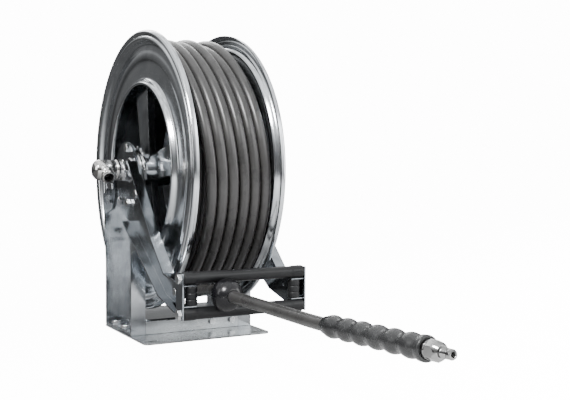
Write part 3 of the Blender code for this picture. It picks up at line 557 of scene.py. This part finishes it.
def disc(side, name):
    """A pressed flange: a rolled lip round its hole, a bead, and a rim rolled in two ridges."""
    inner = [(134.7, 71.0), (135.5, 72.6), (137.7, 72.8), (139.7, 70.4), (141.9, 66.6), (145.0, 64.0), (149.5, 63.5)]
    bead = [(168.0, 63.4), (172.0, 63.7), (176.0, 64.5), (180.0, 64.9), (184.0, 64.6), (188.0, 63.8), (191.0, 63.5)]
    rim = [(196.0, 63.4), (199.0, 64.2), (201.5, 67.4), (203.6, 71.2), (206.0, 73.0), (208.6, 72.4), (210.8, 70.9)]
    rolled = [(213.2, 71.6), (215.8, 72.9), (218.0, 71.6), (219.2, 68.6), (219.4, 65.2)]
    line = flowing(inner + [(162.0, 63.4)] + bead + rim + rolled, 5)
    half = DISC_THICKNESS / 2
    outside, inside = [], []
    for index, point in enumerate(line):
        way = (line[min(index + 1, len(line) - 1)] - line[max(index - 1, 0)]).normalized()
        normal = Vector((-way.y, way.x))
        outside.append(point + normal * half)
        inside.append(point - normal * half)
    profile = outside + inside[::-1]
    mesh = revolved(name + "_spun", profile, (0, 0, 0), side * X, 180, sharp=60)
    piece(name + "_spun", mesh, SPUN, "stainless", "drum", name)


# ---------------------------------------------------------------- roller guide


def long_roller(end, name):
    tip, flare, radius = 94.4, 9.3, 8.5
    outer = [(flare, tip), (flare, tip - 17), (radius, tip - 21), (radius, 21 - tip), (flare, 17 - tip), (flare, -tip)]
    profile = filleted(outer + [(4.4, -tip), (4.4, tip)], 2.2, steps=5)
    joint = joints[f"{name}_spin"]
    centre = (Vector(joint["pos_m"]) - AXLE) / MM
    mesh = revolved(name + "_moulded", profile, centre, X, 56, sharp=50)
    piece(name + "_moulded", mesh, ROLLER, "roller_plastic", joint["child"], name)


def side_roller(side, name):
    """A short upright roller with three rings."""
    tip, rings = 13.4, 3
    outer = []
    for index in range(rings):
        height = tip - index * 2 * tip / rings
        outer += [(7.5, height), (8.6, height - 1.2), (8.6, height - 2 * tip / rings + 1.2)]
    profile = filleted(outer + [(7.5, -tip), (2.9, -tip), (2.9, tip)], 0.8)
    joint = joints[f"{name}_spin"]
    centre = (Vector(joint["pos_m"]) - AXLE) / MM
    mesh = revolved(name + "_moulded", profile, centre, Z, 48)
    piece(name + "_moulded", mesh, ROLLER, "roller_plastic", joint["child"], name)


# ---------------------------------------------------------------- hose end


def stopper():
    """The rubber ball in two halves that meet at a thin seam, each with a rounded edge there."""
    bore, ball = 8.35, STOPPER_RADIUS
    lip = math.degrees(math.asin(9.6 / ball))
    arc = []
    for step in range(41):
        angle = math.radians(lip + (180 - 2 * lip) * step / 40)
        arc.append((ball * math.sin(angle), ball * math.cos(angle)))
    profile = arc + filleted([(bore, arc[-1][1]), (bore, arc[0][1])], 0.3, closed=False)
    centre = HOSE_AXIS + Vector((0, -STOPPER_DISTANCE, 0))
    for side, name in ((1, "stopper_upper"), (-1, "stopper_lower")):
        shape = revolved_shape(profile, centre, Y, 72)
        cut = bmesh.ops.bisect_plane(
            shape,
            geom=shape.verts[:] + shape.edges[:] + shape.faces[:],
            plane_co=at(*centre) + side * 0.25 * MM * Z,
            plane_no=-side * Z,
            clear_outer=True,
        )["geom_cut"]
        rims = [item for item in cut if isinstance(item, bmesh.types.BMEdge)]
        bmesh.ops.holes_fill(shape, edges=rims, sides=0)
        seam = [edge for edge in rims if edge.is_valid and len(edge.link_faces) == 2]
        bmesh.ops.bevel(shape, geom=seam, offset=0.6 * MM, segments=3, affect="EDGES", profile=0.5)
        mesh = finished(name + "_moulded", shape, 50)
        piece(name + "_moulded", mesh, BALL, "stopper_rubber", "hose_end", name)


def grip():
    """A rubber sleeve of six bulbs, with a plain collar at its end."""
    neck, bulb, bulbs, pitch, samples = 10.3, 13.3, 6, 28.3, 22
    outer = [Vector((9.4, GRIP_START)), Vector((10.2, GRIP_START + 0.2)), Vector((neck - 0.1, GRIP_START + 0.9))]
    for step in range(bulbs * samples + 1):
        swell = 0.5 - 0.5 * math.cos(2 * math.pi * step / samples)
        outer.append(Vector((neck + (bulb - neck) * swell**0.7, GRIP_START + 1.5 + step * pitch / samples)))
    end = GRIP_START + GRIP_LENGTH
    collar = [(12.4, outer[-1].y + 1.6), (13.2, outer[-1].y + 3), (13.4, end - 1.8), (12.6, end - 0.3), (11.8, end)]
    outer += flowing([outer[-1], *collar], 3)[1:]
    inner = [(10.4, end), (10.4, end - 26), (8.6, end - 27), (8.6, GRIP_START)]
    profile = [*outer, *[Vector(point) for point in inner]][::-1]
    mesh = revolved("grip_moulded", profile, GRIP_FOOT, RISE, 64, sharp=50)
    piece("grip_moulded", mesh, GRIP, "grip_rubber", "hose_end", "grip_sleeve")


def end_fitting():
    """The threaded nose of the fitting; the ferrule and the hexagon are the CAD nodes."""
    foot = GRIP_START + GRIP_LENGTH - 25 + 29 + 0.3 + 17.3 + 0.3
    outer = [(5.4, 0.0)]
    for ridge in range(5):
        low = 0.8 + ridge * 1.35
        outer += [(5.4, low), (4.85, low + 0.65)]
    outer += [(5.4, 7.4), (4.6, 8.0), (5.3, 8.9), (5.4, 13.4), (4.7, 14.8), (3.1, 15.0), (2.6, 14.4), (2.6, 0.0)]
    mesh = revolved("end_nipple_threaded", outer[::-1], GRIP_FOOT + foot * RISE, RISE, 48, sharp=50)
    # The nose wears the darker plating, whose colour is painted shade.
    piece("end_nipple_threaded", mesh, SHADED_FITTING, "plated_steel", "hose_end", "end_nipple")


# ---------------------------------------------------------------- swivel


def swivel():
    """The polished inlet elbow: a turned body, a port that faces forward and down, and a drain plug."""
    profile = [
        (0, -136.0),
        (6.0, -136.0),
        (6.0, -116.6),
        (12.2, -116.6),
        (12.2, -112.4),
        (14.4, -112.4),
        (14.4, -108.6),
        (12.2, -108.6),
        (12.2, -106.6),
        (16.0, -106.6),
        (16.0, -111.0),
        (14.9, -112.2),
        (14.9, -114.6),
        (16.0, -115.8),
        (16.0, -138.0),
        (14.5, -143.0),
        (10.5, -146.6),
        (5.0, -148.2),
        (0, -148.6),
    ]
    body = revolved_shape(filleted(profile, 0.9, closed=False), (0, 0, 0), X, 72, closed=False)
    facing = Vector((0, -math.sin(math.radians(118)), math.cos(math.radians(118))))
    centre = (-128.0, 0, 0)
    collar = [(0, 25.0), (9.4, 25.0), (11.2, 23.4), (11.2, 20.4), (10.2, 19.4), (10.2, 14.6), (11.2, 13.6)]
    collar = filleted([*collar, (11.2, 2), (0, 2)], 0.5, closed=False)
    boss = revolved_shape(collar, centre, facing, 64, closed=False)
    mouth = rod(7.6, 10, 30, centre, facing, 48)
    way = rod(4.0, 0.5, 15, centre, facing)
    plug = rod(4.0, -20.5, -14.0, (-118.0, 0, 0), Z, 6)
    steps = [("UNION", boss), ("UNION", plug), ("DIFFERENCE", mouth), ("DIFFERENCE", way)]
    mesh = combined("swivel_polished", body, steps)
    piece("swivel_polished", mesh, NICKEL, "plated_steel", "swivel", "swivel_housing")
    cup = [(7.55, 23.0), (7.55, 10.05), (4.2, 10.05), (4.2, 10.6), (7.15, 10.6), (7.15, 23.0)]
    piece("inlet_seal", revolved("inlet_seal", cup, centre, facing), SEAL, "seal_rubber", "swivel")


# ---------------------------------------------------------------- CAD nodes that stay


def dress_nodes():
    for side in ("left", "right"):
        dress(f"{side}_post", SHEET, 0.7)
        # The arms and guide brackets wear the darker sheet, whose colour is painted shade.
        dress(f"{side}_arm", SHADED_ARM_SHEET, 0.7)
        dress(f"{side}_guide_bracket", SHADED_ARM_SHEET, 0.4)
        dress(f"{side}_bearing", ZINC, 0.4)
        dress(f"{side}_roller_axle", ZINC, 0.3)
        dress(f"{side}_guide_bolt", ZINC, 0.35)
        for index in range(1, 5):
            dress(f"{side}_arm_bolt_{index}", ZINC, 0.5)
        for index in range(1, 3):
            dress(f"{side}_base_bolt_{index}", ZINC, 0.5)
    for name in ("base_plate", "base_beam"):
        dress(name, BRUSHED, 0.5)
    for name in ("beam_bolt_1", "beam_bolt_2", "top_roller_axle", "bottom_roller_axle", "pawl_pin", "pawl"):
        dress(name, ZINC, 0.35)
    for name in ("ratchet_wheel", "axle_nut", "axle_shaft"):
        dress(name, ZINC, 0.4)
    # The ferrule and the hexagon wear the darker plating, whose colour is painted shade.
    for name in ("end_ferrule", "end_nut"):
        dress(name, SHADED_FITTING, 0.4)
    for name in ("spring_case", "spring_cover", "spring_arbor"):
        dress(name, SPRING_STEEL, 0.6)
    dress("spiral_spring", SPRING_STEEL, bevelled=False)
    dress("drum_core", SHEET, bevelled=False)
    dress("drum_spider", SHEET, 0.8)
    dress("swivel_seal", SEAL, 0.3)


# ---------------------------------------------------------------- studio


def area_light(name, place, size, power, target=(0.0, -0.1, 0.2), shade=(1, 1, 1)):
    light = bpy.data.lights.new(name, "AREA")
    light.shape = "RECTANGLE"
    light.size, light.size_y = size
    light.energy = power
    light.color = shade
    obj = bpy.data.objects.new(name, light)
    bpy.context.scene.collection.objects.link(obj)
    obj.location = place
    obj.rotation_euler = (Vector(target) - Vector(place)).to_track_quat("-Z", "Y").to_euler()


def lobe(tree, way, direction, low, high, reach):
    """A value that goes from low to high as the way nears a direction."""
    dot = node(tree, "ShaderNodeVectorMath", {0: way, 1: direction}, operation="DOT_PRODUCT")
    return ranged(tree, dot.outputs["Value"], low, high, source=reach)


def studio():
    """A pale floor, a soft key from the upper left, a fill, and a sky that darkens towards the horizon."""
    bpy.ops.mesh.primitive_circle_add(vertices=96, radius=3.2, fill_type="NGON", location=(0, 0, -0.0005))
    floor = bpy.context.object
    floor.name = "floor"
    made, tree, shader = principled("floor_paint", 0.0, Roughness=0.9, Specular_IOR_Level=0.1)
    spot = node(tree, "ShaderNodeVectorMath", {0: place_of(tree), 1: (0.49, -0.87, 0.0)}, operation="DOT_PRODUCT")
    across = ranged(tree, spot.outputs["Value"], 0, 1, source=(-0.25, 0.9))
    tree.links.new(tinted(tree, across, (0.05, 0.05, 0.05), (0.9, 0.9, 0.9)), shader.inputs["Base Color"])
    glow = node(tree, "ShaderNodeEmission", {"Color": (1, 1, 1, 1), "Strength": 14.0})
    lifted = node(tree, "ShaderNodeAddShader", {0: shader.outputs[0], 1: glow.outputs[0]})
    direct = node(tree, "ShaderNodeLightPath").outputs["Is Camera Ray"]
    both = node(tree, "ShaderNodeMixShader", {0: direct, 1: shader.outputs[0], 2: lifted.outputs[0]})
    tree.links.new(both.outputs[0], tree.nodes["Material Output"].inputs["Surface"])
    floor.data.materials.append(made)
    area_light("key", (-1.3, -1.1, 1.8), (0.6, 0.6), 85)
    area_light("side", (-1.9, -0.2, 0.9), (0.35, 1.2), 7)
    area_light("fill", (1.9, -0.9, 0.7), (0.6, 1.2), 14)
    area_light("back", (0.4, 1.9, 1.6), (1.8, 0.5), 20)
    world = bpy.data.worlds.new("studio")
    world.use_nodes = True
    tree = world.node_tree
    tree.nodes.clear()
    way = node(tree, "ShaderNodeTexCoord").outputs["Generated"]
    height = node(tree, "ShaderNodeSeparateXYZ", {"Vector": way}).outputs["Z"]
    ramp = node(tree, "ShaderNodeValToRGB", {"Fac": ranged(tree, height, 0, 1, source=(-0.2, 1.0))})
    stops = ((0.0, 0.08), (0.14, 0.06), (0.19, 0.13), (0.32, 0.20), (0.50, 0.50), (0.62, 1.5), (1.0, 2.0))
    elements = ramp.color_ramp.elements
    while len(elements) < len(stops):
        elements.new(0.5)
    for element, (position, level) in zip(elements, stops):
        element.position = position
        element.color = (level, level * 1.01, level * 1.02, 1)
    bright = lobe(tree, way, (0.49, -0.87, 0.05), 0.0, 8.0, (0.75, 0.97))
    wide = node(tree, "ShaderNodeVectorMath", {0: way, 1: (1, 1, 0.35)}, operation="MULTIPLY").outputs[0]
    panels = ranged(tree, noise(tree, wide, 6.0, 1.0), 0.6, 1.4, source=(0.38, 0.62))
    level = node(tree, "ShaderNodeMath", {0: bright, 1: panels}, operation="ADD").outputs[0]
    lit = node(tree, "ShaderNodeBackground", {"Color": ramp.outputs[0], "Strength": level})
    seen = node(tree, "ShaderNodeBackground", {"Color": (1, 1, 1, 1), "Strength": 14.0})
    direct = node(tree, "ShaderNodeLightPath").outputs["Is Camera Ray"]
    both = node(tree, "ShaderNodeMixShader", {0: direct, 1: lit.outputs[0], 2: seen.outputs[0]})
    node(tree, "ShaderNodeOutputWorld", {"Surface": both.outputs[0]})
    bpy.context.scene.world = world


INNER_HOSE = rubber("inner_hose", (0.030, 0.030, 0.030), (0.042, 0.042, 0.042), (0.4, 0.55), 500, 0.1, 0.0001)

make_camera()
stopper()
grip()
end_fitting()
lead()
run()
outer_layer()
inner_layers()
feed()
for SIDE, LABEL in ((-1, "left"), (1, "right")):
    disc(SIDE, f"{LABEL}_disc")
    side_roller(SIDE, f"{LABEL}_roller")
for END, LABEL in ((1, "top"), (-1, "bottom")):
    long_roller(END, f"{LABEL}_roller")
swivel()
dress_nodes()
studio()
